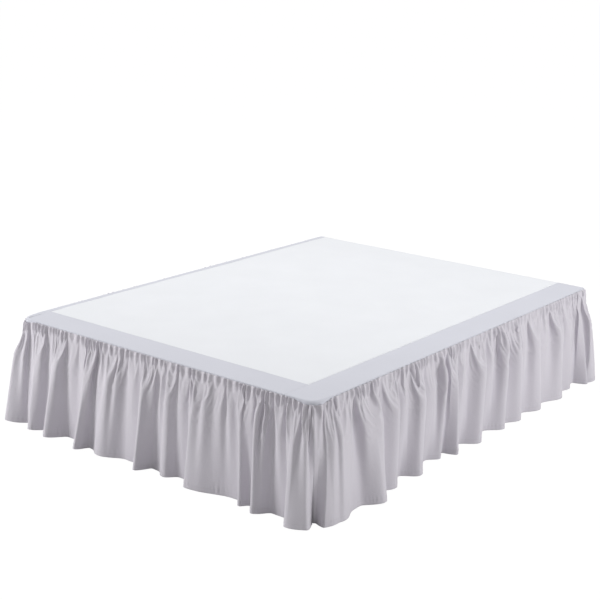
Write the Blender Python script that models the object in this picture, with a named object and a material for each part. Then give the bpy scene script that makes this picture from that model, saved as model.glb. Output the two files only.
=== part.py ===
"""A gathered bed skirt on its plain box spring and legs.

The skirt is a flat deck that lies on the box spring, a band of the skirt's own cloth along
its foot and both sides, and a gathered ruffle sewn to the edge of each band. The ruffles
hang to the floor in uneven folds and are split at the corners. The head end has no ruffle.
Metres, +Z up, the foot of the bed towards -Y, the whole centred over the origin.
"""

from collections import namedtuple
from math import acos, cos, pi, radians, sin, sqrt

import bmesh
import bpy
from mathutils import Vector

# The bed
BED_WIDTH = 1.524
BED_LENGTH = 2.032
DECK_HEIGHT = 0.457          # floor to the upper face of the deck
CORNER_RADIUS = 0.050        # the bed's upright corners, seen from above
BASE_HEIGHT = 0.230          # box spring alone
BASE_EDGE_RADIUS = 0.014
LEG_TOP_RADIUS = 0.032
LEG_FOOT_RADIUS = 0.024
LEG_INSET = 0.100            # leg's centre line in from the bed's edges
LEG_SIDES = 24

# The cloth
DECK_CLOTH = 0.0015
RUFFLE_CLOTH = 0.0020
GAP = 0.0003                 # between pieces that touch
EDGE_CLEARANCE = 0.0022      # cloth to the box spring's sides and edges
ROLL_RADIUS = 0.012          # the band's roll over the bed's edge
ROLL_STEPS = 4
SEAM_DROP = 0.0145           # upper face of the deck down to the gathering seam
FOOT_BAND = 0.135            # width of each band on top of the bed
RIGHT_BAND = 0.134
LEFT_BAND = 0.028
HEM_HEIGHT = 0.004           # floor to the hem where the cloth hangs straight

# The ruffles' grid
FLANK_COLUMNS = 3            # columns of faces between a fold's crest and its valley
LEVELS = (0.0, 0.05, 0.15, 0.35, 0.55, 0.78, 1.0)   # shares of the drop, seam to hem
FLARE = 0.85                 # power of the drop at which a fold grows: under 1 it starts full
TUCK_FROM = 0.55             # below this share, under the box spring, a valley may hang inwards
ARC_STEPS = 6

# A fold: top and hem are the places of its crest along the edge, at the seam and at the
# hem; out is how far the crest stands out at the hem; wall is the width of its steep side
# at the hem, before the crest; valley is the distance on to the valley after it, and floor
# how far that valley stands out. Places are measured along the edge from its middle.
Fold = namedtuple("Fold", "top hem out wall valley floor")

FOOT_FOLDS = (
    Fold(top=-0.7495, hem=-0.7535, out=0.096, wall=0.000, valley=0.020, floor=0.003),
    Fold(top=-0.645, hem=-0.670, out=0.050, wall=0.030, valley=0.068, floor=-0.002),
    Fold(top=-0.540, hem=-0.556, out=0.067, wall=0.028, valley=0.070, floor=-0.006),
    Fold(top=-0.340, hem=-0.362, out=0.080, wall=0.030, valley=0.026, floor=0.020),
    Fold(top=-0.240, hem=-0.252, out=0.053, wall=0.080, valley=0.105, floor=0.004),
    Fold(top=-0.025, hem=-0.043, out=0.065, wall=0.030, valley=0.035, floor=0.000),
    Fold(top=0.105, hem=0.080, out=0.031, wall=0.065, valley=0.046, floor=-0.008),
    Fold(top=0.235, hem=0.214, out=0.053, wall=0.045, valley=0.196, floor=0.000),
    Fold(top=0.475, hem=0.466, out=0.041, wall=0.028, valley=0.024, floor=0.010),
    Fold(top=0.555, hem=0.543, out=0.062, wall=0.028, valley=0.050, floor=0.006),
    Fold(top=0.700, hem=0.710, out=0.074, wall=0.045, valley=0.048, floor=0.000),
)
FOOT_END = Fold(top=0.7495, hem=0.7626, out=-0.005, wall=0.0, valley=0.0, floor=-0.005)
SIDE_START = Fold(top=-1.0035, hem=-0.9910, out=0.024, wall=0.0, valley=0.0, floor=0.024)
SIDE_FOLDS = (
    Fold(top=-0.985, hem=-0.968, out=0.053, wall=0.023, valley=0.025, floor=0.052),
    Fold(top=-0.915, hem=-0.915, out=0.058, wall=0.028, valley=0.105, floor=0.025),
    Fold(top=-0.745, hem=-0.705, out=0.086, wall=0.070, valley=0.077, floor=0.010),
    Fold(top=-0.560, hem=-0.558, out=0.033, wall=0.065, valley=0.060, floor=-0.022),
    Fold(top=-0.440, hem=-0.402, out=0.041, wall=0.060, valley=0.085, floor=-0.028),
    Fold(top=-0.255, hem=-0.208, out=0.006, wall=0.055, valley=0.030, floor=-0.020),
    Fold(top=-0.165, hem=-0.128, out=0.038, wall=0.026, valley=0.058, floor=-0.020),
    Fold(top=0.035, hem=0.040, out=0.042, wall=0.070, valley=0.080, floor=-0.020),
    Fold(top=0.215, hem=0.245, out=0.037, wall=0.082, valley=0.040, floor=0.006),
    Fold(top=0.345, hem=0.378, out=0.040, wall=0.075, valley=0.065, floor=-0.002),
    Fold(top=0.525, hem=0.552, out=0.043, wall=0.095, valley=0.065, floor=0.004),
    Fold(top=0.735, hem=0.745, out=0.047, wall=0.115, valley=0.075, floor=0.002),
    Fold(top=0.865, hem=0.890, out=0.015, wall=0.055, valley=0.042, floor=-0.012),
    Fold(top=0.955, hem=0.981, out=0.057, wall=0.022, valley=0.014, floor=0.050),
    Fold(top=1.0035, hem=1.0113, out=0.096, wall=0.014, valley=0.000, floor=0.096),
)

# Worked out
HALF_WIDTH = BED_WIDTH / 2
HALF_LENGTH = BED_LENGTH / 2
BASE_TOP = DECK_HEIGHT - DECK_CLOTH - GAP
BASE_BOTTOM = BASE_TOP - BASE_HEIGHT
SEAM_HEIGHT = DECK_HEIGHT - SEAM_DROP
CLOTH_DROP = SEAM_HEIGHT - GAP - HEM_HEIGHT


def clear_scene():
    for old in list(bpy.data.objects):
        bpy.data.objects.remove(old, do_unlink=True)


def material(name, colour, roughness):
    made = bpy.data.materials.new(name)
    made.use_nodes = True
    shader = made.node_tree.nodes["Principled BSDF"]
    shader.inputs["Base Color"].default_value = (*colour, 1.0)
    shader.inputs["Roughness"].default_value = roughness
    shader.inputs["Metallic"].default_value = 0.0
    made.diffuse_color = (*colour, 1.0)
    return made


def object_from(bm, name, finish):
    mesh = bpy.data.meshes.new(name)
    bm.to_mesh(mesh)
    bm.free()
    mesh.materials.append(finish)
    made = bpy.data.objects.new(name, mesh)
    bpy.context.collection.objects.link(made)
    return made


def thicken(sheet, thickness, offset):
    """Give a sheet its cloth: offset -1 grows it inwards, 0 to both sides alike."""
    solid = sheet.modifiers.new("cloth", "SOLIDIFY")
    solid.thickness = thickness
    solid.offset = offset
    solid.use_even_offset = True


# ---------------------------------------------------------------- box spring and legs

def box_spring(finish):
    """A block with round upright corners and softer edges above and below."""
    inset = DECK_CLOTH + EDGE_CLEARANCE
    size = (BED_WIDTH - 2 * inset, BED_LENGTH - 2 * inset, BASE_HEIGHT)
    bm = bmesh.new()
    bmesh.ops.create_cube(bm, size=1.0)
    bmesh.ops.scale(bm, vec=size, verts=bm.verts)
    bmesh.ops.translate(bm, vec=(0, 0, BASE_BOTTOM + BASE_HEIGHT / 2), verts=bm.verts)
    upright = [e for e in bm.edges if abs(e.verts[0].co.z - e.verts[1].co.z) > BASE_HEIGHT / 2]
    bmesh.ops.bevel(bm, geom=upright, offset=CORNER_RADIUS - inset, segments=ARC_STEPS,
                    profile=0.5, affect="EDGES", material=-1)
    level = [f for f in bm.faces if abs(f.normal.z) > 0.9]
    rims = {e for f in level for e in f.edges}
    bmesh.ops.bevel(bm, geom=list(rims), offset=BASE_EDGE_RADIUS, segments=3,
                    profile=0.5, affect="EDGES", material=-1)
    made = object_from(bm, "box_spring", finish)
    made.data.shade_smooth()
    made.data.set_sharp_from_angle(angle=radians(35))
    return made


def leg(name, x, y, finish):
    """A plain turned leg, flat on the floor, just under the box spring."""
    height = BASE_BOTTOM - GAP
    bm = bmesh.new()
    bmesh.ops.create_cone(bm, cap_ends=True, segments=LEG_SIDES, radius1=LEG_FOOT_RADIUS,
                          radius2=LEG_TOP_RADIUS, depth=height)
    made = object_from(bm, name, finish)
    made.location = (x, y, height / 2)
    made.data.shade_smooth()
    made.data.set_sharp_from_angle(angle=radians(35))
    return made


def legs(finish):
    across = HALF_WIDTH - LEG_INSET
    along = HALF_LENGTH - LEG_INSET
    places = [(x, y) for y in (-along, 0.0, along) for x in (-across, across)]
    return [leg(f"leg_{i + 1}", x, y, finish) for i, (x, y) in enumerate(places)]


# ---------------------------------------------------------------- deck and bands

def roll_section():
    """Section of the roll over the bed's edge, (inwards from the edge, height) each."""
    section = []
    for i in range(ROLL_STEPS + 1):
        turn = pi / 2 * i / ROLL_STEPS
        section.append((ROLL_RADIUS * (1 - sin(turn)),
                        DECK_HEIGHT - ROLL_RADIUS * (1 - cos(turn))))
    section.append((0.0, SEAM_HEIGHT))
    return section


def corner(cut, inwards, side_part):
    """Points round one corner of the bed's outline, set inwards, up to a cut at x = cut.

    The side part runs from the bed's side to the cut, the other part from the cut on.
    """
    radius = CORNER_RADIUS - inwards
    centre = Vector((HALF_WIDTH - CORNER_RADIUS, HALF_LENGTH - CORNER_RADIUS))
    into_corner = cut - centre.x
    cut_turn = acos(into_corner / radius) if into_corner > 0 else pi / 2
    first, last = (0.0, cut_turn) if side_part else (cut_turn, pi / 2)
    points = []
    if last > first:
        for i in range(ARC_STEPS + 1):
            turn = first + (last - first) * i / ARC_STEPS
            points.append(centre + radius * Vector((cos(turn), sin(turn))))
    if into_corner <= 0:
        points.append(Vector((cut, HALF_LENGTH - inwards)))
    return points


def skin(bm, rows):
    """Faces between rows of points, all turned up and out."""
    verts = [[bm.verts.new(point) for point in row] for row in rows]
    for upper, lower in zip(verts, verts[1:]):
        for i in range(len(upper) - 1):
            bm.faces.new((upper[i], lower[i], lower[i + 1], upper[i + 1]))
    return verts


def face_up(bm):
    bmesh.ops.recalc_face_normals(bm, faces=bm.faces)
    if sum(f.normal.z * f.calc_area() for f in bm.faces) < 0:
        bmesh.ops.reverse_faces(bm, faces=bm.faces)


def end_piece(name, towards, reach, finish):
    """A piece between the side bands that rolls over one end of the bed, -1 foot, 1 head."""
    left_cut = HALF_WIDTH - LEFT_BAND - GAP
    right_cut = HALF_WIDTH - RIGHT_BAND - GAP
    rows = []
    for inwards, z in roll_section():
        left = [(-p.x, towards * p.y, z) for p in corner(left_cut, inwards, False)]
        right = [(p.x, towards * p.y, z) for p in corner(right_cut, inwards, False)]
        rows.append(left + right[::-1])
    inner = [(x, towards * (HALF_LENGTH - reach), z) for x, y, z in rows[0]]
    bm = bmesh.new()
    skin(bm, [inner, *rows])
    face_up(bm)
    made = object_from(bm, name, finish)
    thicken(made, DECK_CLOTH, -1)
    return made


def side_band(name, width, mirror, finish):
    """A band down the whole side; it rolls over the side and round both corners."""
    rows = []
    for inwards, z in roll_section():
        half = corner(HALF_WIDTH - width, inwards, True)
        rows.append([(mirror * p.x, -p.y, z) for p in half[::-1]]
                    + [(mirror * p.x, p.y, z) for p in half])
    bm = bmesh.new()
    verts = skin(bm, rows)
    bm.faces.new(verts[0])
    face_up(bm)
    made = object_from(bm, name, finish)
    thicken(made, DECK_CLOTH, -1)
    return made


# ---------------------------------------------------------------- ruffles

def ease(share):
    return (1 - cos(pi * share)) / 2


def between(x, xs, ys):
    """Straight interpolation of y at x, held level past the ends."""
    if x <= xs[0]:
        return ys[0]
    for x0, x1, y0, y1 in zip(xs, xs[1:], ys, ys[1:]):
        if x <= x1:
            return y0 + (y1 - y0) * (x - x0) / (x1 - x0)
    return ys[-1]


def fold_columns(folds):
    """The ruffle's columns, (top, hem, out) each: crests, valleys and the flanks between."""
    hems = [fold.hem for fold in folds]
    tops = [fold.top for fold in folds]
    knots = []
    for fold in folds:
        wall_foot = fold.hem - fold.wall
        if fold.wall > 0 and wall_foot > knots[-1][0] + GAP:
            knots.append((wall_foot, knots[-1][1]))
        knots.append((fold.hem, fold.out))
        if fold.valley > 0:
            knots.append((fold.hem + fold.valley, fold.floor))
    columns = []
    for (hem0, out0), (hem1, out1) in zip(knots, knots[1:]):
        steps = 1 if abs(out0 - out1) < 1e-6 else FLANK_COLUMNS
        for i in range(steps):
            share = i / steps
            hem = hem0 + (hem1 - hem0) * share
            columns.append((hem, out0 + (out1 - out0) * ease(share)))
    columns.append(knots[-1])
    return [(between(hem, hems, tops), hem, out) for hem, out in columns]


def from_edge(place, half, out):
    """Point out from the bed's edge, which is straight and then turns its round corner.

    Returns (along, out) in the edge's own directions, along from its middle.
    """
    straight = half - CORNER_RADIUS
    turn = max(0.0, abs(place) - straight) / CORNER_RADIUS
    side = 1 if place > 0 else -1
    if turn == 0.0:
        return place, out
    reach = CORNER_RADIUS + out
    return side * (straight + reach * sin(turn)), reach * cos(turn) - CORNER_RADIUS


def stand_out(out, share):
    """How far a column stands out at a share of its drop, from how far it does at the hem.

    A crest flares out all the way down; a valley hangs inwards only under the box spring.
    """
    if out >= 0:
        return out * share ** FLARE
    return out * ease(max(0.0, share - TUCK_FROM) / (1 - TUCK_FROM))


def ruffle(name, half, folds, place_in_bed, finish):
    """A gathered panel from its seam to its hem, each column of cloth the same length."""
    bm = bmesh.new()
    grid = []
    for top, hem, out in fold_columns(folds):
        fall = sqrt(CLOTH_DROP ** 2 - out ** 2 - (hem - top) ** 2)
        column = []
        for share in LEVELS:
            along, away = from_edge(top + (hem - top) * share, half, stand_out(out, share))
            x, y = place_in_bed(along, away)
            column.append(bm.verts.new((x, y, SEAM_HEIGHT - GAP - fall * share)))
        grid.append(column)
    for left, right in zip(grid, grid[1:]):
        for i in range(len(LEVELS) - 1):
            bm.faces.new((left[i], left[i + 1], right[i + 1], right[i]))
    made = object_from(bm, name, finish)
    made.data.shade_smooth()
    thicken(made, RUFFLE_CLOTH, 0)
    return made


def ruffles(finish):
    foot = ruffle("ruffle_foot", HALF_WIDTH, (*FOOT_FOLDS, FOOT_END),
                  lambda along, out: (along, -HALF_LENGTH - out), finish)
    side_folds = (SIDE_START, *SIDE_FOLDS)
    right = ruffle("ruffle_right", HALF_LENGTH, side_folds,
                   lambda along, out: (HALF_WIDTH + out, along), finish)
    left = ruffle("ruffle_left", HALF_LENGTH, side_folds,
                  lambda along, out: (-HALF_WIDTH - out, along), finish)
    left.data.flip_normals()
    return [foot, right, left]


def centre_in_plan(objects):
    """Slide everything together so that its box is centred over the origin."""
    depsgraph = bpy.context.evaluated_depsgraph_get()
    corners = []
    for each in objects:
        shape = each.evaluated_get(depsgraph)
        corners += [each.matrix_world @ vertex.co for vertex in shape.data.vertices]
    for axis in (0, 1):
        values = [corner[axis] for corner in corners]
        middle = (min(values) + max(values)) / 2
        for each in objects:
            each.location[axis] -= middle


def main():
    clear_scene()
    ticking = material("box_spring_ticking", (0.78, 0.78, 0.77), 0.85)
    wood = material("leg_wood", (0.10, 0.07, 0.05), 0.45)
    white = material("deck_cloth", (0.90, 0.90, 0.92), 0.90)
    grey = material("skirt_cloth", (0.56, 0.55, 0.58), 0.88)
    pieces = [box_spring(ticking), *legs(wood)]
    pieces.append(end_piece("deck", 1, BED_LENGTH - FOOT_BAND - GAP, white))
    pieces.append(end_piece("band_foot", -1, FOOT_BAND, grey))
    pieces.append(side_band("band_right", RIGHT_BAND, 1, grey))
    pieces.append(side_band("band_left", LEFT_BAND, -1, grey))
    pieces += ruffles(grey)
    bpy.context.view_layer.update()
    centre_in_plan(pieces)


main()
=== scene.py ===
"""A gathered bed skirt on its box spring: three ruffles, a deck and its bands, with a stage."""

import math
from collections import namedtuple

import bmesh
import bpy
import numpy as np
from bpy.props import FloatProperty, FloatVectorProperty, IntProperty, PointerProperty
from mathutils import Matrix, Vector


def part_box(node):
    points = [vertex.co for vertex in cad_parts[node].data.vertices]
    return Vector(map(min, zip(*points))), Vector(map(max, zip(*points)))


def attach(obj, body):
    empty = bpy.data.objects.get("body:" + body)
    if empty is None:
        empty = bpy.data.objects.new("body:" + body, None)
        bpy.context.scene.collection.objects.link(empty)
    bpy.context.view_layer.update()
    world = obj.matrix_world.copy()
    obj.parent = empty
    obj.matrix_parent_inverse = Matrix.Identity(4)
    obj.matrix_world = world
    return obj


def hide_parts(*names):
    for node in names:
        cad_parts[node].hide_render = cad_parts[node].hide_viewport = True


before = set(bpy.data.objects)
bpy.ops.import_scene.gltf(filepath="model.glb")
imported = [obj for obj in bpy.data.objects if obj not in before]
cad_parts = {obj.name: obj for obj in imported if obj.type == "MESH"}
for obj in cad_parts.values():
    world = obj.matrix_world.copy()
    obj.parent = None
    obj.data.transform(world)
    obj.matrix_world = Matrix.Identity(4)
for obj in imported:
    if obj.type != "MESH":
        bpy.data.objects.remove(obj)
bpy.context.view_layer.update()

bl_info = {
    "name": "Gathered Bed Skirt",
    "version": (1, 0, 0),
    "blender": (4, 5, 0),
    "location": "3D View > Sidebar > Bed Skirt",
    "description": "Sews and hangs a gathered bed skirt over a box spring",
    "category": "Object",
}

# What the frame gives: the skirt's edge in plan, and the heights of its cloth.
BAND_LOW, BAND_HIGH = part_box("band_right")
DECK_LOW, DECK_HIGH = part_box("deck")
BASE_LOW, BASE_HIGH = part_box("box_spring")
HALF_WIDTH = BAND_HIGH.x
HALF_LENGTH = (BAND_HIGH.y - BAND_LOW.y) / 2
CENTRE_Y = (BAND_HIGH.y + BAND_LOW.y) / 2
TOP = DECK_HIGH.z
CORNER = 0.050               # radius of the bed's foot corners in plan
HEAD_CORNER = 0.012          # and of its head corners, where no ruffle is sewn on
QUARTER = CORNER * math.pi / 2
HEAD_QUARTER = HEAD_CORNER * math.pi / 2
SIDE_STRAIGHT = 2 * HALF_LENGTH - CORNER - HEAD_CORNER
LIP = 0.0040                 # how far below the top the gathers are sewn on along an edge
CORNER_LIP = 0.0140          # and at the split corners, where the band shows below its roll
ROLL = 0.85                  # radius of the cloth's roll over the edge, as a share of the lip
LOW_FROM, LOW_OVER = 0.110, 0.075    # where the seam starts to run lower before a corner, and
                                     # the length over which it does

# The grids of cloth.
FOOT_COLUMNS, SIDE_COLUMNS, RUFFLE_ROWS = 560, 720, 60
BAND_STEP = 0.004            # distance between a band's columns, along the edge
BAND_ROWS, DECK_ROWS = 24, 150       # rows of the parts that lie flat
EDGE_RIPPLE = 0.0008         # how far the gathered seam pulls the bands' edge in and out
BAND_LIFT, DECK_LIFT = 0.0006, 0.0010    # how far flat cloth lifts here and there

# The small shapes of the gathers.
STAND = 0.0085               # how far the cloth stands off its seam
SLIT = 0.0125                # depth of the deepest slits between gathers
PUFF_OUT = 0.0042            # how far the gathers puff out under the band
PUFF_UP = 0.0090             # and up over their seam
HEM_PUCKER = 0.0016          # how far the hem's stitches pull it in and out
HEM_PITCH = 0.017            # mean distance between two of the hem's puckers, along the cloth
HEM_CLEAR = 0.0040           # how far the hem stays off the floor
LEAN = 0.10                  # how far a turned slope leans under its crest, over its depth
BOX_GAP = 0.0022             # least distance from the cloth's middle to the box spring

# How a ruffle gathers: the pitch of its pinches over the common one, how many of them meet in a
# loose fold, how far loose folds sway, how far crests stand out at half height, from which share
# of the drop valleys go inwards, at which end it flares, and the chance that makes it uneven.
Gather = namedtuple("Gather", "pitch group sway body tuck flared seed")
FOOT_GATHER = Gather(pitch=1.0, group=2, sway=1.6, body=0.013, tuck=0.52, flared=-1, seed=3)
SIDE_GATHER = Gather(pitch=1.25, group=3, sway=2.4, body=0.028, tuck=0.52, flared=1, seed=8)

Fold = namedtuple("Fold", "top hem out wall valley floor")

# Each fold of a ruffle. top, hem: where its crest is at the seam and at the hem, along the edge
# from its middle. out: how far the crest stands out at the hem. wall: width of the slope that
# leads up to it. valley: width of the slope that leads away. floor: how far out the low line is.
FOOT_FOLDS = (
    Fold(top=-0.7495, hem=-0.7535, out=0.096, wall=0.000, valley=0.020, floor=0.003),
    Fold(top=-0.645, hem=-0.670, out=0.050, wall=0.030, valley=0.068, floor=-0.002),
    Fold(top=-0.540, hem=-0.556, out=0.067, wall=0.028, valley=0.070, floor=-0.006),
    Fold(top=-0.340, hem=-0.362, out=0.080, wall=0.030, valley=0.026, floor=0.020),
    Fold(top=-0.240, hem=-0.252, out=0.053, wall=0.080, valley=0.105, floor=0.004),
    Fold(top=-0.025, hem=-0.043, out=0.065, wall=0.030, valley=0.035, floor=0.000),
    Fold(top=0.105, hem=0.080, out=0.031, wall=0.065, valley=0.046, floor=-0.008),
    Fold(top=0.235, hem=0.214, out=0.053, wall=0.045, valley=0.196, floor=0.000),
    Fold(top=0.475, hem=0.466, out=0.041, wall=0.028, valley=0.024, floor=0.010),
    Fold(top=0.555, hem=0.543, out=0.062, wall=0.028, valley=0.050, floor=0.006),
    Fold(top=0.695, hem=0.710, out=0.074, wall=0.045, valley=0.000, floor=0.000),
    Fold(top=0.735, hem=0.742, out=0.060, wall=0.000, valley=0.000, floor=0.000),
    Fold(top=0.7530, hem=0.7575, out=0.004, wall=0.0, valley=0.0, floor=0.0),
)
SIDE_FOLDS = (
    Fold(top=-1.0200, hem=-1.0180, out=-0.014, wall=0.0, valley=0.0, floor=0.0),
    Fold(top=-0.9940, hem=-0.9960, out=-0.004, wall=0.0, valley=0.0, floor=0.0),
    Fold(top=-0.9500, hem=-0.9880, out=0.047, wall=0.0, valley=0.028, floor=0.052),
    Fold(top=-0.915, hem=-0.915, out=0.058, wall=0.028, valley=0.105, floor=0.025),
    Fold(top=-0.745, hem=-0.705, out=0.086, wall=0.070, valley=0.077, floor=0.010),
    Fold(top=-0.560, hem=-0.558, out=0.033, wall=0.065, valley=0.060, floor=-0.022),
    Fold(top=-0.440, hem=-0.402, out=0.041, wall=0.060, valley=0.085, floor=-0.028),
    Fold(top=-0.255, hem=-0.208, out=0.006, wall=0.055, valley=0.030, floor=-0.020),
    Fold(top=-0.165, hem=-0.128, out=0.038, wall=0.026, valley=0.058, floor=-0.020),
    Fold(top=0.035, hem=0.040, out=0.042, wall=0.070, valley=0.080, floor=-0.020),
    Fold(top=0.215, hem=0.245, out=0.037, wall=0.082, valley=0.040, floor=0.006),
    Fold(top=0.345, hem=0.378, out=0.040, wall=0.075, valley=0.065, floor=-0.002),
    Fold(top=0.525, hem=0.552, out=0.043, wall=0.095, valley=0.065, floor=0.004),
    Fold(top=0.735, hem=0.745, out=0.047, wall=0.115, valley=0.075, floor=0.002),
    Fold(top=0.865, hem=0.890, out=0.015, wall=0.055, valley=0.042, floor=-0.012),
    Fold(top=0.960, hem=0.9976, out=0.052, wall=0.030, valley=0.008, floor=0.038),
    Fold(top=1.0105, hem=1.0152, out=0.085, wall=0.0, valley=0.0, floor=0.0),
)

# Cloth of a light brushed weave, in the settings of the simulation.
CLOTH_RULES = {
    "quality": 4,
    "mass": 0.15,
    "tension_stiffness": 15,
    "compression_stiffness": 15,
    "shear_stiffness": 2,
    "bending_stiffness": 0.05,
    "tension_damping": 5,
    "compression_damping": 5,
    "shear_damping": 5,
    "bending_damping": 0.5,
    "air_damping": 2,
    "pin_stiffness": 1,
}
HOLD = 0.30                  # how firmly the lower half keeps to the folds it starts in

Light = namedtuple("Light", "name place aim size")
LIGHTS = (
    Light("key", place=(-4.4, -4.6, 2.0), aim=(0.0, -0.6, 0.2), size=(1.6, 1.6)),
    Light("fill", place=(4.5, 1.1, 2.0), aim=(0.7, -0.3, 0.2), size=(1.8, 1.8)),
    Light("overhead", place=(-0.8, 0.9, 4.2), aim=(0.0, 0.1, 0.4), size=(3.2, 3.2)),
)

# The camera: round the bed from its foot to the right, above level, and leaning a little.
VIEW_TURN = math.radians(37.9)
VIEW_LIFT = math.radians(15.8)
VIEW_ROLL = math.radians(1.30)
VIEW_PLACE = (3.25, CENTRE_Y - 4.31, 1.99)
LENS, SENSOR = 77.46, 36.0


class SkirtSizes(bpy.types.PropertyGroup):
    """Sizes of the skirt's cloth that a user would change."""

    drop: FloatProperty(
        name="Drop", description="Cut height of a ruffle, from its gathered seam to its hem",
        default=0.4450, min=0.2, max=0.6, unit="LENGTH",
    )
    fullness: FloatProperty(
        name="Fullness", description="Cut width of a ruffle over the length of its gathered seam",
        default=1.60, min=1.0, max=2.5, subtype="FACTOR",
    )
    gather: FloatProperty(
        name="Gather", description="Mean distance between two gathers along the seam",
        default=0.0225, min=0.01, max=0.06, unit="LENGTH",
    )
    hem: FloatProperty(
        name="Hem", description="Depth of the turned and stitched hem",
        default=0.018, min=0.005, max=0.05, unit="LENGTH",
    )
    thickness: FloatProperty(
        name="Cloth", description="Thickness of one layer of the skirt's cloth",
        default=0.0009, min=0.0003, max=0.003, unit="LENGTH",
    )
    frames: IntProperty(
        name="Settling", description="Steps for which the gathered cloth settles",
        default=22, min=1, max=60,
    )


class SkirtColours(bpy.types.PropertyGroup):
    """Colours of the cloths, the ticking and the wood."""

    skirt: FloatVectorProperty(
        name="Skirt", description="Colour of the ruffles' cloth",
        default=(0.638, 0.612, 0.664), subtype="COLOR", min=0, max=1,
    )
    # Painted light: the bands are of the skirt's grey cloth, and this colour is made a little
    # lighter and bluer than the skirt's to stand in for the light from above.
    band: FloatVectorProperty(
        name="Bands", description="Colour of the edge bands' cloth",
        default=(0.65, 0.657, 0.725), subtype="COLOR", min=0, max=1,
    )
    deck: FloatVectorProperty(
        name="Deck", description="Colour of the deck's cloth",
        default=(0.845, 0.860, 0.892), subtype="COLOR", min=0, max=1,
    )
    ticking: FloatVectorProperty(
        name="Ticking", description="Colour of the box spring's ticking",
        default=(0.74, 0.73, 0.70), subtype="COLOR", min=0, max=1,
    )
    wood: FloatVectorProperty(
        name="Legs", description="Colour of the stained wooden legs",
        default=(0.055, 0.032, 0.020), subtype="COLOR", min=0, max=1,
    )


class StageSettings(bpy.types.PropertyGroup):
    """The floor and the lights."""

    floor: FloatVectorProperty(
        name="Floor", description="Colour of the studio floor",
        default=(0.80, 0.80, 0.80), subtype="COLOR", min=0, max=1,
    )
    ambient: FloatProperty(
        name="Surround", description="Strength of the even light from all round",
        default=0.32, min=0, max=2,
    )
    key: FloatProperty(
        name="Key", description="Power of the large light on the left",
        default=212.0, min=0, max=2000, unit="POWER",
    )
    fill: FloatProperty(
        name="Fill", description="Power of the large light on the right",
        default=100.0, min=0, max=2000, unit="POWER",
    )
    overhead: FloatProperty(
        name="Overhead", description="Power of the large light above the bed",
        default=89.0, min=0, max=2000, unit="POWER",
    )


# ---------------------------------------------------------------- shader nodes


def group(name, inputs, outputs):
    """An empty node group with named sockets, and its two end nodes."""
    tree = bpy.data.node_groups.new(name, "ShaderNodeTree")
    for label, kind, value in inputs:
        socket = tree.interface.new_socket(name=label, in_out="INPUT", socket_type=kind)
        if value is not None:
            socket.default_value = value
    for label, kind in outputs:
        tree.interface.new_socket(name=label, in_out="OUTPUT", socket_type=kind)
    return tree, tree.nodes.new("NodeGroupInput"), tree.nodes.new("NodeGroupOutput")


def node(tree, kind, values=(), **settings):
    """A node with its settings, and its inputs set or linked by name or number."""
    made = tree.nodes.new(kind)
    for key, value in settings.items():
        setattr(made, key, value)
    for key, value in dict(values).items():
        if isinstance(value, bpy.types.NodeSocket):
            tree.links.new(value, made.inputs[key])
        else:
            made.inputs[key].default_value = value
    return made


def maths(tree, operation, first, second=0.0, third=0.0):
    """The output of a maths node."""
    return node(
        tree, "ShaderNodeMath", {0: first, 1: second, 2: third}, operation=operation
    ).outputs[0]


def weave_group():
    """Plain weave with slubs: threads both ways in metres of cloth, thicker here and there."""
    tree, start, end = group(
        "plain weave",
        [("Place", "NodeSocketVector", None), ("Threads", "NodeSocketFloat", 1500.0)],
        [("Height", "NodeSocketFloat"), ("Slub", "NodeSocketFloat")],
    )
    place = start.outputs["Place"]
    split = node(tree, "ShaderNodeSeparateXYZ", {0: place})
    turns = maths(tree, "MULTIPLY", start.outputs["Threads"], 2 * math.pi)
    weft = maths(tree, "SINE", maths(tree, "MULTIPLY", split.outputs[0], turns))
    warp = maths(tree, "SINE", maths(tree, "MULTIPLY", split.outputs[1], turns))
    threads = maths(tree, "MULTIPLY", weft, warp)
    long_slub = node(
        tree, "ShaderNodeMapping", {"Vector": place, "Scale": (60.0, 700.0, 1.0)}
    ).outputs[0]
    up_slub = node(
        tree, "ShaderNodeMapping", {"Vector": place, "Scale": (700.0, 60.0, 1.0)}
    ).outputs[0]
    along = node(
        tree, "ShaderNodeTexNoise", {"Vector": long_slub, "Scale": 1.0, "Detail": 2.0}
    ).outputs[0]
    upward = node(
        tree, "ShaderNodeTexNoise", {"Vector": up_slub, "Scale": 1.0, "Detail": 2.0}
    ).outputs[0]
    slub = maths(tree, "MULTIPLY", maths(tree, "ADD", along, upward), 0.5)
    height = maths(tree, "MULTIPLY_ADD", threads, 0.25, slub)
    tree.links.new(height, end.inputs["Height"])
    tree.links.new(slub, end.inputs["Slub"])
    return tree


def crumple_group():
    """Soft creases that packing leaves in cloth, on a scale of a few centimetres."""
    tree, start, end = group(
        "soft creases",
        [("Place", "NodeSocketVector", None), ("Size", "NodeSocketFloat", 30.0)],
        [("Height", "NodeSocketFloat")],
    )
    broad = node(
        tree, "ShaderNodeTexNoise",
        {"Vector": start.outputs["Place"], "Scale": start.outputs["Size"], "Detail": 3.0,
         "Roughness": 0.55, "Distortion": 0.6},
    ).outputs[0]
    ridge = maths(tree, "ABSOLUTE", maths(tree, "SUBTRACT", broad, 0.5))
    tree.links.new(maths(tree, "MULTIPLY", ridge, 2.0), end.inputs["Height"])
    return tree


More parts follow.
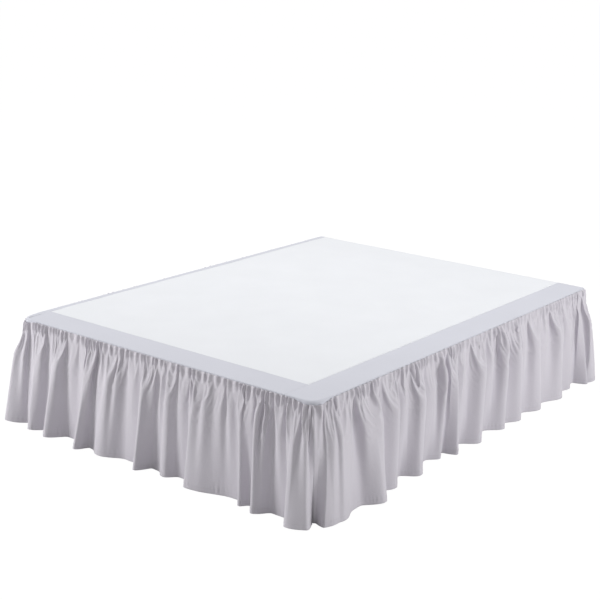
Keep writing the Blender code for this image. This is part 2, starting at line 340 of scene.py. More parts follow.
def stitch_group():
    """A row of stitches at one height of the cloth: dips the length of a stitch."""
    tree, start, end = group(
        "stitch row",
        [("Place", "NodeSocketVector", None), ("Line", "NodeSocketFloat", 0.018),
         ("Width", "NodeSocketFloat", 0.0012), ("Stitches", "NodeSocketFloat", 330.0)],
        [("Mask", "NodeSocketFloat")],
    )
    split = node(tree, "ShaderNodeSeparateXYZ", {0: start.outputs["Place"]})
    away = maths(tree, "ABSOLUTE",
                 maths(tree, "SUBTRACT", split.outputs[1], start.outputs["Line"]))
    near = maths(tree, "SUBTRACT", 1.0, maths(tree, "DIVIDE", away, start.outputs["Width"]))
    line = maths(tree, "MAXIMUM", near, 0.0)
    turns = maths(tree, "MULTIPLY", start.outputs["Stitches"], 2 * math.pi)
    beat = maths(tree, "SINE", maths(tree, "MULTIPLY", split.outputs[0], turns))
    dash = maths(tree, "MULTIPLY_ADD", beat, 0.35, 0.65)
    tree.links.new(maths(tree, "MULTIPLY", line, dash), end.inputs["Mask"])
    return tree


def shared(name, make):
    """The node group of that name, made once."""
    return bpy.data.node_groups.get(name) or make()


def material(name, roughness, sheen=0.0):
    """A new material, its node tree and its shader."""
    made = bpy.data.materials.new(name)
    made.use_nodes = True
    shader = made.node_tree.nodes["Principled BSDF"]
    shader.inputs["Roughness"].default_value = roughness
    shader.inputs["Sheen Weight"].default_value = sheen
    shader.inputs["Sheen Roughness"].default_value = 0.5
    return made, made.node_tree, shader


def uses(tree, made_group, values):
    """A group node in a material, with its values."""
    return node(tree, "ShaderNodeGroup", values, node_tree=made_group)


def tint(tree, shader, colour, value):
    """Sets the shader's colour, made lighter and darker by a value."""
    base = node(tree, "ShaderNodeVectorMath", {0: (*colour, ), "Scale": value}, operation="SCALE")
    tree.links.new(base.outputs[0], shader.inputs["Base Color"])


def emboss(tree, shader, height, strength):
    """Gives the shader a bump of a height in metres."""
    bump = node(tree, "ShaderNodeBump", {"Height": height, "Strength": strength, "Distance": 1.0})
    tree.links.new(bump.outputs[0], shader.inputs["Normal"])


def cloth_material(name, colour, roughness, sheen, threads, creases, stitches=None):
    """Woven cloth: its colour varies a little with the slubs, and its bump has weave,
    creases and a row of stitches at the height given."""
    made, tree, shader = material(name, roughness, sheen)
    uv = node(tree, "ShaderNodeUVMap", uv_map="cloth").outputs[0]
    weave = uses(tree, shared("plain weave", weave_group), {"Place": uv, "Threads": threads})
    crease = uses(tree, shared("soft creases", crumple_group), {"Place": uv, "Size": 26.0})
    patches = node(
        tree, "ShaderNodeTexNoise", {"Vector": uv, "Scale": 5.0, "Detail": 2.0}
    ).outputs[0]
    slub = maths(tree, "SUBTRACT", weave.outputs["Slub"], 0.5)
    tone = maths(tree, "MULTIPLY_ADD", slub, 0.07, 1.0)
    drift = maths(tree, "MULTIPLY_ADD", maths(tree, "SUBTRACT", patches, 0.5), 0.06, 1.0)
    value = maths(tree, "MULTIPLY", tone, drift)
    height = maths(tree, "MULTIPLY_ADD", crease.outputs["Height"], creases, 0.0)
    height = maths(tree, "MULTIPLY_ADD", weave.outputs["Height"], 0.00012, height)
    if stitches is not None:
        row = uses(tree, shared("stitch row", stitch_group), {"Place": uv, "Line": stitches})
        height = maths(tree, "MULTIPLY_ADD", row.outputs["Mask"], -0.0006, height)
        value = maths(tree, "MULTIPLY", value,
                      maths(tree, "MULTIPLY_ADD", row.outputs["Mask"], -0.10, 1.0))
    tint(tree, shader, colour, value)
    emboss(tree, shader, height, 0.6)
    return made


# ---------------------------------------------------------------- cloth sheets


def cut_cloth(name, across, down):
    """A flat grid of cloth with a UV map, one row of vertices after another."""
    work = bmesh.new()
    work.loops.layers.uv.new("cloth")
    bmesh.ops.create_grid(
        work, x_segments=across - 1, y_segments=down - 1, size=1.0, calc_uvs=True
    )
    mesh = bpy.data.meshes.new(name)
    work.to_mesh(mesh)
    work.free()
    mesh.shade_smooth()
    return mesh


def place_vertices(mesh, points):
    mesh.vertices.foreach_set("co", np.asarray(points, np.float32).ravel())
    mesh.update()


def set_cloth_uv(mesh, flat):
    """UVs in metres of flat cloth, from one point of the flat cloth for each vertex."""
    corners = np.zeros(len(mesh.loops), np.int32)
    mesh.loops.foreach_get("vertex_index", corners)
    mesh.uv_layers["cloth"].data.foreach_set("uv", flat[corners].astype(np.float32).ravel())


def flip_faces(mesh):
    work = bmesh.new()
    work.from_mesh(mesh)
    bmesh.ops.reverse_faces(work, faces=work.faces[:])
    work.to_mesh(mesh)
    work.free()


def add_piece(name, mesh, finish, replaced):
    """The object of a piece, with its material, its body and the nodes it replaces."""
    made = bpy.data.objects.new(name, mesh)
    bpy.context.scene.collection.objects.link(made)
    made.data.materials.clear()
    made.data.materials.append(finish)
    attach(made, "root")
    if replaced:
        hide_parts(*replaced)
    return made


def thicken(made, thickness, offset, group_name=None):
    """Gives the cloth its thickness, half of it outside the group where one is named."""
    solid = made.modifiers.new("cloth thickness", "SOLIDIFY")
    solid.thickness = thickness
    solid.offset = offset
    solid.use_even_offset = False
    if group_name:
        solid.vertex_group = group_name
        solid.thickness_vertex_group = 0.5


# ---------------------------------------------------------------- ruffles


def fold_line(folds, hidden):
    """The hem's line in plan, closely spaced: along, out, along at the seam, share of a crest.

    hidden names the slopes that are turned from view, which lean under their own crests."""
    hems = np.maximum.accumulate([f.hem for f in folds])
    tops = [f.top for f in folds]
    knots = []
    for fold in folds:
        start = fold.hem - fold.wall
        crest = float(fold.out > 0.005)
        if knots and fold.wall > 0 and start > knots[-1][0] + 0.002:
            last = knots[-1]
            knots.append((start, last[1], np.interp(start, hems, tops), last[3], False))
        knots.append((fold.hem, fold.out, fold.top, crest, hidden == "wall" and fold.wall > 0))
        if fold.valley > 0:
            end = fold.hem + fold.valley
            knots.append((end, fold.floor, np.interp(end, hems, tops), 0.0, hidden == "valley"))
    pieces = []
    for first, last in zip(knots, knots[1:]):
        span = math.hypot(last[0] - first[0], last[1] - first[1])
        share = np.linspace(0, 1, max(6, int(span / 0.001)), endpoint=False)
        rise = last[1] - first[1]
        eased = (1 - np.cos(np.pi * share)) / 2
        lean = LEAN * last[4] * abs(rise) * np.sin(2 * np.pi * share)
        pieces.append(np.stack([
            first[0] + (last[0] - first[0]) * share + lean,
            first[1] + rise * eased,
            first[2] + (last[2] - first[2]) * share,
            first[3] + (last[3] - first[3]) * eased,
        ]))
    pieces.append(np.array(knots[-1][:4])[:, None])
    return np.concatenate(pieces, 1)


def round_edge(place, half, out, far_corner):
    """Along and out from an edge's middle, for places that may lie round its corners."""
    radius = np.where(place > 0, far_corner, CORNER)
    straight = half - radius
    turn = np.maximum(0, np.abs(place) - straight) / radius
    reach = radius + out
    along = np.where(turn > 0, np.sign(place) * (straight + reach * np.sin(turn)), place)
    away = np.where(turn > 0, reach * np.cos(turn) - radius, out)
    return along, away


def lip(place, half, far_corner):
    """How far below the top the seam is at a place along an edge."""
    near = np.clip((np.abs(place) - (half - LOW_FROM)) / LOW_OVER, 0, 1)
    near = np.where((place > 0) & (far_corner < CORNER), 0.0, near)
    return LIP + (CORNER_LIP - LIP) * near * near * (3 - 2 * near)


def uneven(chance, count, low, high):
    """The ends of count stretches of uneven width that fill 0 to 1."""
    ends = np.concatenate([[0], np.cumsum(chance.uniform(low, high, count))])
    return ends / ends[-1]


def turns_between(share, ends):
    """An angle that makes one turn in each stretch."""
    return np.interp(share, ends, np.arange(len(ends))) * 2 * np.pi


Plan = namedtuple("Plan", "share hem out crest sewn seam width")


def plan_ruffle(folds, half, far_corner, hidden, columns):
    """Each column's share of the width, its place and stand-out at the hem, its share of a crest
    and its place at the seam, with the seam's length and the ruffle's cut width."""
    u, o, seam, crest = fold_line(folds, hidden)
    along, away = round_edge(u, half, o, far_corner)
    arc = np.concatenate([[0], np.cumsum(np.hypot(np.diff(along), np.diff(away)))])
    length = seam[-1] - seam[0]
    width = max(arc[-1] * 1.03, length * bpy.context.scene.skirt_sizes.fullness)
    share = np.linspace(0, 1, columns)
    hem, out, crest, sewn = (np.interp(share * arc[-1], arc, line) for line in (u, o, crest, seam))
    sewn = 0.55 * sewn + 0.45 * (seam[0] + length * share)
    return Plan(share, hem, out, crest, sewn, length, width)


Pinches = namedtuple(
    "Pinches", "count turn size reach wide_turn slit slit_reach puff pucker hem_turn"
)


def plan_pinches(gather, plan):
    """The uneven gathers of a ruffle: their number, and their shape at each column."""
    sizes = bpy.context.scene.skirt_sizes
    chance = np.random.default_rng(gather.seed)
    share = plan.share
    count = int(plan.seam / (sizes.gather * gather.pitch))
    ends = uneven(chance, count, 0.55, 1.45)
    middles = (ends[1:] + ends[:-1]) / 2
    turn = turns_between(share, ends)
    size = np.interp(share, middles, 0.75 + 0.80 * chance.uniform(0, 1, count) ** 1.5)
    reach = np.interp(share, middles, chance.uniform(0.05, 0.20, count))
    wide_turn = turns_between(share, uneven(chance, count // gather.group, 0.55, 1.45))
    slit = np.interp(share, ends, chance.uniform(0, 1, count + 1) ** 2)
    slit *= (1 - np.abs(np.cos(turn / 2))) ** 3
    slit_reach = np.interp(share, ends, chance.uniform(0.02, 0.12, count + 1))
    puff = np.interp(share, middles, chance.uniform(0.35, 1, count)) * (0.5 + 0.5 * np.cos(turn))
    pucker = np.interp(share, middles, chance.uniform(0, 1, count) ** 2)
    hem_turn = turns_between(share, uneven(chance, int(plan.width / HEM_PITCH), 0.6, 1.4))
    return Pinches(count, turn, size, reach, wide_turn, slit, slit_reach, puff, pucker, hem_turn)


def row_shares():
    """Each row's share of the drop: closer together near the seam, with extra rows in the hem."""
    sizes = bpy.context.scene.skirt_sizes
    k = np.linspace(0, 1, RUFFLE_ROWS - 3)
    hem_rows = [1 - share * sizes.hem / sizes.drop for share in (0.2, 0.55, 1.0)]
    return np.sort(np.concatenate([0.40 * k + 0.60 * k ** 1.8, hem_rows]))


def faded(share, reach):
    """A bell curve that has fallen to about a third at its reach."""
    return np.exp(-((share / reach) ** 2))


def row_start(gather, plan, pinches, half, far_corner, share):
    """A row of the ruffle before it settles, and what its fine pinches and puckers add."""
    sizes = bpy.context.scene.skirt_sizes
    corner = np.clip((half - CORNER - np.abs(plan.hem)) / 0.04, 0, 1)
    end = np.clip((plan.hem * gather.flared - half + 0.10) / 0.08, 0, 1)
    spread = plan.hem - plan.sewn
    top = TOP - lip(plan.sewn, half, far_corner)
    slant = (top - HEM_CLEAR) ** 2 - plan.out ** 2 - spread ** 2
    fall = np.sqrt(np.maximum(slant, 0.1))

    flare = share ** (1.0 - 0.15 * corner - 0.24 * end)
    tucked_in = np.clip((share - gather.tuck) / (1 - gather.tuck), 0, 1) ** 1.5
    away = np.where(plan.out >= 0, flare, tucked_in) * plan.out
    bulge = (1 - math.exp(-share / 0.06)) * (1 - share)
    away += gather.body * corner * plan.crest ** 1.4 * bulge
    a, b = round_edge(plan.sewn + spread * share, half, away, far_corner)

    da, db = np.gradient(a, plan.share), np.gradient(b, plan.share)
    length = np.hypot(da, db)
    outwards = np.stack([-db / length, da / length, np.zeros(len(a))], 1)
    spare = np.maximum(plan.width / length - 1, 0)
    swing = length / pinches.count * np.sqrt(spare) / math.pi * pinches.size
    tight = np.clip(share / 0.02, 0.45, 1) * faded(share, pinches.reach)
    loose = (1 - faded(share, 0.12)) * faded(share, 0.60)
    pinch = 2 * np.abs(np.cos(pinches.turn / 2)) ** 0.8 - 1
    shift = swing * (tight * pinch + gather.sway * loose * np.cos(pinches.wide_turn))
    stand = STAND * min(share / 0.03, 1)
    points = np.stack([a, b + stand, top - fall * share], 1) + outwards * shift[:, None]

    slit = SLIT * pinches.slit * faded(share, pinches.slit_reach) * min(share / 0.01, 1)
    puff = pinches.puff * faded(share - 0.010, 0.012) * (share > 0)
    above_hem = (1 - share) * sizes.drop - sizes.hem
    pucker = HEM_PUCKER * pinches.pucker * np.sin(pinches.hem_turn) * faded(above_hem, 0.008)
    fine = outwards * (PUFF_OUT * puff + pucker - slit)[:, None]
    fine[:, 2] = PUFF_UP * puff
    return points, fine


Start = namedtuple("Start", "points fine flat shares columns width")


def gathered_start(folds, gather, half, far_corner, hidden, columns):
    """The ruffle before it settles: its points, the fine shapes of its seams, its flat cut, its
    rows' shares of the drop, its columns and its cut width."""
    drop = bpy.context.scene.skirt_sizes.drop
    plan = plan_ruffle(folds, half, far_corner, hidden, columns)
    pinches = plan_pinches(gather, plan)
    shares = row_shares()
    made = [row_start(gather, plan, pinches, half, far_corner, share) for share in shares]
    points, fine = (np.concatenate(part) for part in zip(*made))
    across, up = np.meshgrid(plan.share * plan.width, drop * (1 - shares))
    flat = np.stack([across.ravel(), up.ravel()], 1)
    return Start(points, fine, flat, shares, columns, plan.width)


def settle(made, start, frames):
    """Lets the gathered cloth hang from its seam, and returns where its vertices come to rest."""
    made.shape_key_add(name="Basis")
    cut = made.shape_key_add(name="cut")
    flat = start.flat
    lying = np.stack([flat[:, 0], np.zeros(len(flat)), flat[:, 1]], 1)
    cut.data.foreach_set("co", lying.astype(np.float32).ravel())
    hold = made.vertex_groups.new(name="held")
    for row, share in enumerate(start.shares):
        strength = 1.0 if row == 0 else HOLD * min(1.0, share / 0.5)
        hold.add(row_vertices(start, row), strength, "REPLACE")
    cloth = made.modifiers.new("hang", "CLOTH")
    for rule, value in CLOTH_RULES.items():
        setattr(cloth.settings, rule, value)
    cloth.settings.vertex_group_mass = "held"
    cloth.settings.rest_shape_key = cut
    cloth.collision_settings.use_collision = False
    cloth.point_cache.frame_start = 1
    cloth.point_cache.frame_end = frames + 1
    scene = bpy.context.scene
    for step in range(1, frames + 1):
        scene.frame_set(step)
    hung = made.evaluated_get(bpy.context.evaluated_depsgraph_get())
    points = np.zeros(len(made.data.vertices) * 3)
    hung.data.vertices.foreach_get("co", points)
    scene.frame_set(1)
    return points.reshape(-1, 3)


def row_vertices(start, row):
    """The numbers of a row's vertices."""
    return list(range(row * start.columns, (row + 1) * start.columns))


def outside_box(points):
    """The points, with the ones beside the box spring's flat sides kept out of it."""
    height = points[:, 2]
    beside = np.clip((height - BASE_LOW.z + 0.020) / 0.020, 0, 1) * (height <= TOP - 0.001)
    place = points[:, :2] - (0.0, CENTRE_Y)
    away = np.abs(place) - (BASE_HIGH.x + BOX_GAP, CENTRE_Y - BASE_LOW.y + BOX_GAP)
    straight = np.abs(place[:, ::-1]) < (HALF_LENGTH - CORNER, HALF_WIDTH - CORNER)
    push = (np.sqrt(away ** 2 + 0.0025 ** 2) - away) / 2
    near = (np.abs(away) < 0.060) & straight
    kept = points.copy()
    kept[:, :2] += np.sign(place) * np.where(near, push * beside[:, None], 0.0)
    return kept


def settled_ruffle(name, start, place):
    """Hangs a gathered ruffle and returns where its points come to rest."""
    sizes = bpy.context.scene.skirt_sizes
    hung = place(start.points)
    mesh = cut_cloth(name + "_cut", start.columns, len(start.shares))
    place_vertices(mesh, hung)
    made = bpy.data.objects.new(name + "_cut", mesh)
    bpy.context.scene.collection.objects.link(made)
    hung = settle(made, start, sizes.frames)
    bpy.data.objects.remove(made)
    if not np.isfinite(hung).all():
        raise RuntimeError(name + " came apart while it settled")
    hung = hung + place(start.fine) - place(np.zeros_like(start.fine))
    return outside_box(hung)


def ruffle_piece(name, points, start, finish, turned=False):
    """The finished ruffle, whose hem and seam are two layers."""
    sizes = bpy.context.scene.skirt_sizes
    mesh = cut_cloth(name, start.columns, len(start.shares))
    place_vertices(mesh, points)
    set_cloth_uv(mesh, start.flat)
    if turned:
        flip_faces(mesh)
    made = add_piece(name, mesh, finish, [name.replace("skirt_", "")])
    thick = made.vertex_groups.new(name="layers")
    for row, share in enumerate(start.shares):
        hemmed = (1 - share) * sizes.drop <= sizes.hem * 1.01
        thick.add(row_vertices(start, row), 1.0 if hemmed or row == 0 else 0.0, "REPLACE")
    thicken(made, sizes.thickness * 2, 0.0, "layers")


def at_foot(p):
    """Points in an edge's own along, out and up, placed at the bed's foot."""
    return np.stack([p[:, 0], CENTRE_Y - HALF_LENGTH - p[:, 1], p[:, 2]], 1)


def at_right(p):
    """Points in an edge's own along, out and up, placed at the bed's right side."""
    return np.stack([HALF_WIDTH + p[:, 1], CENTRE_Y + p[:, 0], p[:, 2]], 1)


class SKIRT_OT_ruffles(bpy.types.Operator):
    """Gather, hang and hem the ruffles at the foot and the two sides"""

    bl_idname = "bed_skirt.ruffles"
    bl_label = "Ruffles"

    def execute(self, context):
        colours = context.scene.skirt_colours
        sizes = context.scene.skirt_sizes
        finish = cloth_material(
            "skirt cloth", colours.skirt, 0.92, 0.25, 1500.0, 0.0012, stitches=sizes.hem
        )

        start = gathered_start(FOOT_FOLDS, FOOT_GATHER, HALF_WIDTH, CORNER, "wall", FOOT_COLUMNS)
        points = settled_ruffle("foot", start, at_foot)
        ruffle_piece("skirt_ruffle_foot", points, start, finish)

        start = gathered_start(
            SIDE_FOLDS, SIDE_GATHER, HALF_LENGTH, HEAD_CORNER, "valley", SIDE_COLUMNS
        )
        points = settled_ruffle("side", start, at_right)
        ruffle_piece("skirt_ruffle_right", points, start, finish)
        mirrored = points * np.array([-1.0, 1.0, 1.0])
        ruffle_piece("skirt_ruffle_left", mirrored, start, finish, turned=True)
        return {"FINISHED"}


# ---------------------------------------------------------------- deck and bands


def rim(distance):
    """A point of the skirt's edge in plan, with its outward direction.

    distance is measured along the edge from the middle of the foot, to the right."""
    d = abs(distance)
    side = 1 if distance >= 0 else -1
    first = HALF_WIDTH - CORNER
    second = first + QUARTER
    third = second + SIDE_STRAIGHT
    fourth = third + HEAD_QUARTER
    low, high = CENTRE_Y - HALF_LENGTH, CENTRE_Y + HALF_LENGTH
    if d <= first:
        x, y, nx, ny = d, low, 0.0, -1.0
    elif d <= second:
        turn = (d - first) / CORNER
        nx, ny = math.sin(turn), -math.cos(turn)
        x, y = first + CORNER * nx, low + CORNER + CORNER * ny
    elif d <= third:
        x, y, nx, ny = HALF_WIDTH, low + CORNER + d - second, 1.0, 0.0
    elif d <= fourth:
        turn = (d - third) / HEAD_CORNER
        nx, ny = math.cos(turn), math.sin(turn)
        x = HALF_WIDTH - HEAD_CORNER + HEAD_CORNER * nx
        y = high - HEAD_CORNER + HEAD_CORNER * ny
    else:
        x, y, nx, ny = HALF_WIDTH - HEAD_CORNER - (d - fourth), high, 0.0, 1.0
    return side * x, y, side * nx, ny


def rim_at(x, head=False):
    """The distance along the edge at which the foot's or the head's edge is at that x."""
    radius = HEAD_CORNER if head else CORNER
    straight = HALF_WIDTH - radius
    beyond = max(0.0, min(1.0, (abs(x) - straight) / radius))
    near = min(abs(x), straight) + radius * math.asin(beyond)
    if head:
        sides = QUARTER + SIDE_STRAIGHT + HEAD_QUARTER
        near = (HALF_WIDTH - CORNER) + sides + straight - near
    return math.copysign(near, x)


def edge_lip(distance):
    """How far below the top the seam is at a distance along the whole edge."""
    foot_end = HALF_WIDTH - CORNER + QUARTER / 2
    side_middle = foot_end + QUARTER / 2 + HALF_LENGTH - CORNER
    d = abs(distance)
    if d < foot_end:
        return lip(d, HALF_WIDTH, CORNER)
    return lip(d - side_middle, HALF_LENGTH, HEAD_CORNER)


def seam_waves(d):
    """Uneven short waves along the edge, where the gathers pull on it."""
    return math.sin(d * 285 + 2 * math.sin(d * 41)) + 0.5 * math.sin(d * 611 + 1.3)


def over_edge(inner, distances, flat_steps, pucker):
    """Rows of cloth from an inner line, flat to the edge, over its roll and down to the seam."""
    lay = 0.5 - 0.5 * np.cos(np.linspace(0, np.pi, flat_steps))
    turns = np.linspace(0, math.pi / 2, 9)[1:]
    rows, cuts = [], []
    for (ix, iy), d in zip(inner, distances):
        x, y, nx, ny = rim(d)
        seam = float(edge_lip(d))
        roll = seam * ROLL
        drop = seam - roll
        start = np.array([x - nx * roll, y - ny * roll])
        here = np.array([ix, iy])
        line, cut = [], []
        breadth = float(np.hypot(*(start - here)))
        for share in lay:
            p = here + (start - here) * share
            line.append((p[0], p[1], TOP))
            cut.append(breadth * (1 - share) + roll * math.pi / 2 + drop)
        for angle in turns:
            out = roll * math.sin(angle)
            height = TOP - roll * (1 - math.cos(angle))
            line.append((start[0] + nx * out, start[1] + ny * out, height))
            cut.append(roll * (math.pi / 2 - angle) + drop)
        line.append((x, y, TOP - seam + 0.0004))
        cut.append(0.0)
        for n, c in enumerate(cut):
            ripple = pucker * math.exp(-c / 0.010) * seam_waves(d)
            px, py, pz = line[n]
            side, rise = ripple * 0.7, ripple * 0.4 * (c > 0.002)
            line[n] = (px + nx * side, py + ny * side, pz + rise)
        rows.append(line)
        cuts.append([(d, c) for c in cut])
    return np.array(rows), np.array(cuts)


def settle_flat(points, seed, height):
    """Lifts flat cloth by about a millimetre here and there."""
    chance = np.random.default_rng(seed)
    x, y = points[..., 0], points[..., 1]
    lift = np.zeros(x.shape)
    for n in range(14):
        angle, pitch = chance.uniform(0, math.pi), chance.uniform(0.05, 0.45)
        lift += np.sin((x * math.cos(angle) + y * math.sin(angle)) * 2 * math.pi / pitch
                       + chance.uniform(0, 6.28)) * pitch / 0.45
    points[..., 2] += height * lift / 5 * np.clip((points[..., 2] - (TOP - 0.002)) / 0.002, 0, 1)


def sheet_piece(name, points, cuts, finish, replaced, turned=False):
    """A piece of the deck or bands, from its points and their places on the flat cloth."""
    sizes = bpy.context.scene.skirt_sizes
    across, down = points.shape[0], points.shape[1]
    mesh = cut_cloth(name, across, down)
    place_vertices(mesh, points.transpose(1, 0, 2).reshape(-1, 3))
    set_cloth_uv(mesh, cuts.transpose(1, 0, 2).reshape(-1, 2))
    if turned:
        flip_faces(mesh)
    made = add_piece(name, mesh, finish, replaced)
    thicken(made, sizes.thickness, -1.0)


def spaced(low, high):
    """Distances along the edge at which a band's columns lie."""
    return np.linspace(low, high, max(2, int(round(abs(high - low) / BAND_STEP)) + 1))


def foot_band(finish):
    """The band across the foot, round the left corner to the side band."""
    left, right = DECK_LOW.x, DECK_HIGH.x
    front, bend = DECK_LOW.y, -(HALF_WIDTH - CORNER)
    d = spaced(rim_at(left), rim_at(right))
    x = np.interp(d, [d[0], bend, d[-1]], [left, bend, right])
    points, cuts = over_edge([(a, front) for a in x], d, BAND_ROWS, EDGE_RIPPLE)
    settle_flat(points, 4, BAND_LIFT)
    sheet_piece("skirt_band_foot", points, cuts, finish, ["band_foot"])


def side_band(name, inner, side, finish):
    """A band down a side, from the foot's edge round both corners to the head's edge."""
    low, high = CENTRE_Y - HALF_LENGTH, CENTRE_Y + HALF_LENGTH
    d = spaced(rim_at(inner), rim_at(inner, head=True))
    turn = HALF_WIDTH - CORNER + QUARTER
    y = np.interp(d, [d[0], turn, turn + SIDE_STRAIGHT, d[-1]],
                  [rim(d[0])[1] + 0.014, low + CORNER, high - HEAD_CORNER, rim(d[-1])[1] - 0.009])
    points, cuts = over_edge([(side * inner, b) for b in y], side * d, BAND_ROWS, EDGE_RIPPLE)
    settle_flat(points, 5 + side, BAND_LIFT)
    sheet_piece("skirt_" + name, points, cuts, finish, [name], turned=side < 0)


def deck(finish):
    """The white middle panel, from the foot band over the head's edge."""
    left, right = DECK_LOW.x, DECK_HIGH.x
    front = DECK_LOW.y
    middle = 0.0001
    d = np.concatenate([
        np.linspace(rim_at(left, head=True), rim_at(-middle, head=True), 90),
        np.linspace(rim_at(middle, head=True), rim_at(right, head=True), 90),
    ])
    x = np.array([rim(a)[0] for a in d])
    x[0], x[-1] = left, right
    points, cuts = over_edge([(a, front + 0.0003) for a in x], d, DECK_ROWS, 0.0)
    settle_flat(points, 9, DECK_LIFT)
    cuts[..., :2] = points[..., :2]
    sheet_piece("skirt_deck", points, cuts, finish, ["deck"], turned=True)


class SKIRT_OT_top(bpy.types.Operator):
    """Lay the white deck and sew the grey bands round it, over the bed's edge"""

    bl_idname = "bed_skirt.top"
    bl_label = "Deck and bands"

    def execute(self, context):
        colours = context.scene.skirt_colours
        # The bands' colour holds painted light: the skirt's grey cloth, made a little lighter and
        # bluer as if lit from above.
        band_cloth_with_painted_light = cloth_material(
            "band cloth", colours.band, 0.90, 0.15, 1500.0, 0.0004, stitches=0.004
        )
        deck_cloth = cloth_material("deck cloth", colours.deck, 0.88, 0.10, 1300.0, 0.0004)
        foot_band(band_cloth_with_painted_light)
        side_band("band_right", BAND_LOW.x, 1, band_cloth_with_painted_light)
        side_band("band_left", -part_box("band_left")[1].x, -1, band_cloth_with_painted_light)
        deck(deck_cloth)
        return {"FINISHED"}


# ---------------------------------------------------------------- box spring and legs


def ticking_material(colour):
    """Woven ticking with soft raised waves."""
    made, tree, shader = material("ticking", 0.85, 0.1)
    place = node(tree, "ShaderNodeTexCoord").outputs["Object"]
    weave = uses(tree, shared("plain weave", weave_group), {"Place": place, "Threads": 900.0})
    waves = node(
        tree, "ShaderNodeTexWave",
        {"Vector": place, "Scale": 9.0, "Distortion": 1.2, "Detail": 1.0},
    ).outputs["Fac"]
    tint(tree, shader, colour, maths(tree, "MULTIPLY_ADD", waves, 0.05, 0.95))
    raised = maths(tree, "MULTIPLY", waves, 0.0015)
    height = maths(tree, "MULTIPLY_ADD", weave.outputs["Height"], 0.0002, raised)
    emboss(tree, shader, height, 0.7)
    return made


def wood_material(colour):
    """Stained wood with its grain upright."""
    made, tree, shader = material("stained wood", 0.42)
    place = node(tree, "ShaderNodeTexCoord").outputs["Object"]
    stretched = node(
        tree, "ShaderNodeMapping", {"Vector": place, "Scale": (90.0, 90.0, 6.0)}
    ).outputs[0]
    grain = node(
        tree, "ShaderNodeTexNoise",
        {"Vector": stretched, "Scale": 1.0, "Detail": 5.0, "Distortion": 0.8},
    ).outputs[0]
    tint(tree, shader, colour, maths(tree, "MULTIPLY_ADD", grain, 1.1, 0.45))
    emboss(tree, shader, maths(tree, "MULTIPLY", grain, 0.0006), 0.5)
    return made


class SKIRT_OT_base(bpy.types.Operator):
    """Give the box spring its ticking and the legs their stained wood"""

    bl_idname = "bed_skirt.base"
    bl_label = "Box spring and legs"

    def execute(self, context):
        colours = context.scene.skirt_colours
        ticking = ticking_material(colours.ticking)
        wood = wood_material(colours.wood)
        for name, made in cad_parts.items():
            if name == "box_spring" or name.startswith("leg_"):
                made.data.materials.clear()
                made.data.materials.append(ticking if name == "box_spring" else wood)
        return {"FINISHED"}


# ---------------------------------------------------------------- stage


def add_floor(settings):
    """A wide paper floor, which the camera sees as nearly pure white."""
    work = bmesh.new()
    bmesh.ops.create_grid(work, x_segments=1, y_segments=1, size=90.0)
    mesh = bpy.data.meshes.new("floor")
    work.to_mesh(mesh)
    work.free()
    floor = bpy.data.objects.new("floor", mesh)
    bpy.context.scene.collection.objects.link(floor)
    paper, tree, shader = material("floor paper", 0.9)
    shader.inputs["Base Color"].default_value = (*settings.floor, 1.0)
    shader.inputs["Specular IOR Level"].default_value = 0.1
    bright = node(
        tree, "ShaderNodeEmission", {"Color": (1.0, 1.0, 1.0, 1.0), "Strength": 1.05}
    ).outputs[0]
    seen = node(tree, "ShaderNodeLightPath").outputs["Is Camera Ray"]
    share = maths(tree, "MULTIPLY", seen, 0.94)
    both = node(tree, "ShaderNodeMixShader", {0: share, 1: shader.outputs[0], 2: bright})
    tree.links.new(both.outputs[0], tree.nodes["Material Output"].inputs["Surface"])
    mesh.materials.append(paper)


def add_surround(settings):
    """Even light from all round, behind which the camera sees plain white."""
    world = bpy.data.worlds.new("studio")
    world.use_nodes = True
    tree = world.node_tree
    back = tree.nodes["Background"]
    seen = node(tree, "ShaderNodeLightPath").outputs["Is Camera Ray"]
    strength = maths(tree, "MULTIPLY_ADD", seen, 1.0 - settings.ambient, settings.ambient)
    back.inputs["Color"].default_value = (1.0, 1.0, 1.0, 1.0)
    tree.links.new(strength, back.inputs["Strength"])
    bpy.context.scene.world = world


def area_light(light, power):
    """A soft light from the table, at a power."""
    lamp = bpy.data.lights.new(light.name, "AREA")
    lamp.energy = power
    lamp.shape = "RECTANGLE"
    lamp.size, lamp.size_y = light.size
    made = bpy.data.objects.new(light.name, lamp)
    made.location = light.place
    towards = Vector(light.aim) - Vector(light.place)
    made.rotation_euler = towards.to_track_quat("-Z", "Y").to_euler()
    bpy.context.scene.collection.objects.link(made)


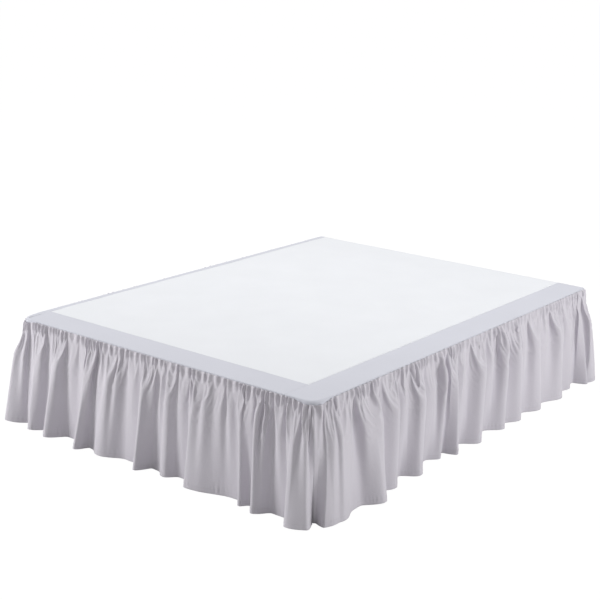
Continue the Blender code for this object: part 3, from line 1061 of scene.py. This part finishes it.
def add_camera():
    """The camera, turned, lifted and rolled as named above."""
    level = math.cos(VIEW_LIFT)
    back = Vector((
        math.sin(VIEW_TURN) * level, -math.cos(VIEW_TURN) * level, math.sin(VIEW_LIFT)
    ))
    right = Vector((math.cos(VIEW_TURN), math.sin(VIEW_TURN), 0.0))
    up = back.cross(right)
    across = math.cos(VIEW_ROLL) * right + math.sin(VIEW_ROLL) * up
    above = math.cos(VIEW_ROLL) * up - math.sin(VIEW_ROLL) * right
    camera = bpy.data.cameras.new("camera")
    camera.lens, camera.sensor_width = LENS, SENSOR
    made = bpy.data.objects.new("camera", camera)
    placed = Matrix((across, above, back)).transposed().to_4x4()
    placed.translation = Vector(VIEW_PLACE)
    made.matrix_world = placed
    bpy.context.scene.collection.objects.link(made)
    bpy.context.scene.camera = made


class SKIRT_OT_stage(bpy.types.Operator):
    """Set the pale floor, the soft lights and the camera"""

    bl_idname = "bed_skirt.stage"
    bl_label = "Stage"

    def execute(self, context):
        settings = context.scene.skirt_stage
        add_floor(settings)
        add_surround(settings)
        for light in LIGHTS:
            area_light(light, getattr(settings, light.name))
        add_camera()
        context.scene.view_settings.view_transform = "Standard"
        return {"FINISHED"}


class SKIRT_PT_panel(bpy.types.Panel):
    """Lists the skirt's pieces and their sizes and colours"""

    bl_label = "Bed Skirt"
    bl_idname = "SKIRT_PT_panel"
    bl_space_type = "VIEW_3D"
    bl_region_type = "UI"
    bl_category = "Bed Skirt"

    def draw(self, context):
        for operator in OPERATORS:
            self.layout.operator(operator.bl_idname)
        scene = context.scene
        for holder in (scene.skirt_sizes, scene.skirt_colours, scene.skirt_stage):
            box = self.layout.box()
            for name in holder.__annotations__:
                box.prop(holder, name)


OPERATORS = (SKIRT_OT_base, SKIRT_OT_ruffles, SKIRT_OT_top, SKIRT_OT_stage)
CLASSES = (SkirtSizes, SkirtColours, StageSettings, *OPERATORS, SKIRT_PT_panel)


def register():
    for made in CLASSES:
        bpy.utils.register_class(made)
    bpy.types.Scene.skirt_sizes = PointerProperty(type=SkirtSizes)
    bpy.types.Scene.skirt_colours = PointerProperty(type=SkirtColours)
    bpy.types.Scene.skirt_stage = PointerProperty(type=StageSettings)


def unregister():
    del bpy.types.Scene.skirt_stage
    del bpy.types.Scene.skirt_colours
    del bpy.types.Scene.skirt_sizes
    for made in reversed(CLASSES):
        bpy.utils.unregister_class(made)


def main():
    register()
    bpy.ops.bed_skirt.base()
    bpy.ops.bed_skirt.ruffles()
    bpy.ops.bed_skirt.top()
    bpy.ops.bed_skirt.stage()


if __name__ == "__main__":
    main()
